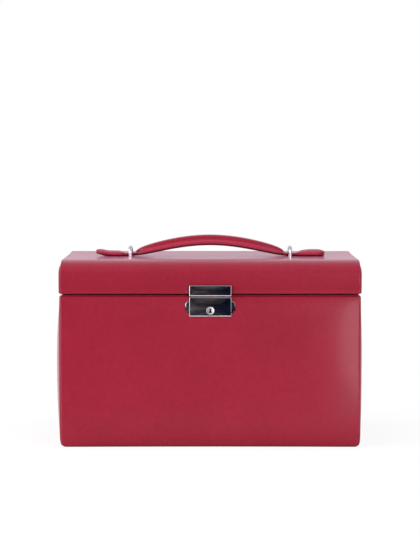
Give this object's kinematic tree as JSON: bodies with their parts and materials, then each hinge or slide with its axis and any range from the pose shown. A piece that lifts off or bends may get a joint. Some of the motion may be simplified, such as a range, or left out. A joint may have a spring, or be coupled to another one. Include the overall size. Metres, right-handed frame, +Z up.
{
  "type": "jewellery case",
  "caption": "Hard leather-covered jewellery case: hinged lid with strap handle, push-button front lock and a tray that rises level with the lid.",
  "frame": {"origin": "middle of the base, on the surface it stands on", "axes": "+X to the right along the front, +Y to the back, +Z up; the lock faces -Y"},
  "size_m": [0.286, 0.185, 0.1922],
  "materials": {
    "leather": "smooth fine-grained leather, semi-matt",
    "board": "bare fibre board",
    "velour": "short-pile velour",
    "cushion": "velour over soft foam",
    "chrome": "polished plate",
    "steel": "nickel-plated steel",
    "mirror": "silvered glass"
  },
  "bodies": {
    "case_body": {"base_board": "board", "front_board": "board", "back_board": "board", "left_board": "board", "right_board": "board", "front_cover": "leather", "back_cover": "leather", "left_cover": "leather", "right_cover": "leather", "base_cover": "leather", "body_lining": "velour", "bottom_dividers": "velour", "hinge_leaf_body": "steel", "hinge_pin": "steel", "hinge_screws_body": "steel", "lock_back_plate": "chrome", "lock_housing": "chrome", "lock_rivets": "steel", "button_springs": "steel", "arm_pivots": "steel"},
    "lid": {"lid_top_board": "board", "lid_front_board": "board", "lid_back_board": "board", "lid_left_board": "board", "lid_right_board": "board", "lid_wrap_cover": "leather", "lid_left_cover": "leather", "lid_right_cover": "leather", "lid_lining": "velour", "lid_mirror": "mirror", "mirror_frame": "velour", "strike_plate": "chrome", "strike_rivets": "steel", "staple_left": "chrome", "staple_right": "chrome", "staple_washers": "steel", "hinge_leaf_lid": "steel", "hinge_screws_lid": "steel", "tray_bracket_left": "steel", "tray_bracket_right": "steel", "bracket_rivets": "steel", "bracket_pivots": "steel"},
    "handle": {"handle_strap": "leather", "handle_core": "cushion", "handle_wrap": "leather"},
    "tray": {"tray_floor": "velour", "tray_front_wall": "velour", "tray_back_wall": "velour", "tray_left_wall": "velour", "tray_right_wall": "velour", "tray_dividers": "velour", "ring_rolls": "cushion", "tray_pins": "steel"},
    "arm_left": {"arm_left": "steel"},
    "arm_right": {"arm_right": "steel"},
    "button_left": {"button_left": "chrome"},
    "button_right": {"button_right": "chrome"},
    "lock_plug": {"lock_plug": "chrome", "plug_cam": "steel"}
  },
  "joints": [
    {"name": "lid_hinge", "type": "hinge", "parent": "case_body", "child": "lid", "pos_m": [0, 0.0896, 0.1406], "axis": [-1, 0, 0], "range_deg": [0, 100]},
    {"name": "tray_level", "type": "hinge", "parent": "lid", "child": "tray", "pos_m": [0, 0.03764, 0.1106], "axis": [-1, 0, 0], "range_deg": [-100, 0]},
    {"name": "arm_left_swing", "type": "hinge", "parent": "case_body", "child": "arm_left", "pos_m": [0, 0.0716, 0.1166], "axis": [-1, 0, 0], "range_deg": [0, 100]},
    {"name": "arm_right_swing", "type": "hinge", "parent": "case_body", "child": "arm_right", "pos_m": [0, 0.0716, 0.1166], "axis": [-1, 0, 0], "range_deg": [0, 100]},
    {"name": "handle_lift", "type": "slide", "parent": "lid", "child": "handle", "axis": [0, 0, 1], "range_m": [0, 0.0022]},
    {"name": "button_left_press", "type": "slide", "parent": "case_body", "child": "button_left", "axis": [1, 0, 0], "range_m": [0, 0.002], "stiffness_N_per_m": 400},
    {"name": "button_right_press", "type": "slide", "parent": "case_body", "child": "button_right", "axis": [-1, 0, 0], "range_m": [0, 0.002], "stiffness_N_per_m": 400},
    {"name": "key_turn", "type": "hinge", "parent": "case_body", "child": "lock_plug", "pos_m": [0, -0.0926, 0.1263], "axis": [0, 1, 0], "range_deg": [-90, 0]}
  ],
  "couplings": [
    {"joint": "tray_level", "follows": "lid_hinge", "ratio": -1},
    {"joint": "arm_left_swing", "follows": "lid_hinge", "ratio": 1},
    {"joint": "arm_right_swing", "follows": "lid_hinge", "ratio": 1}
  ]
}
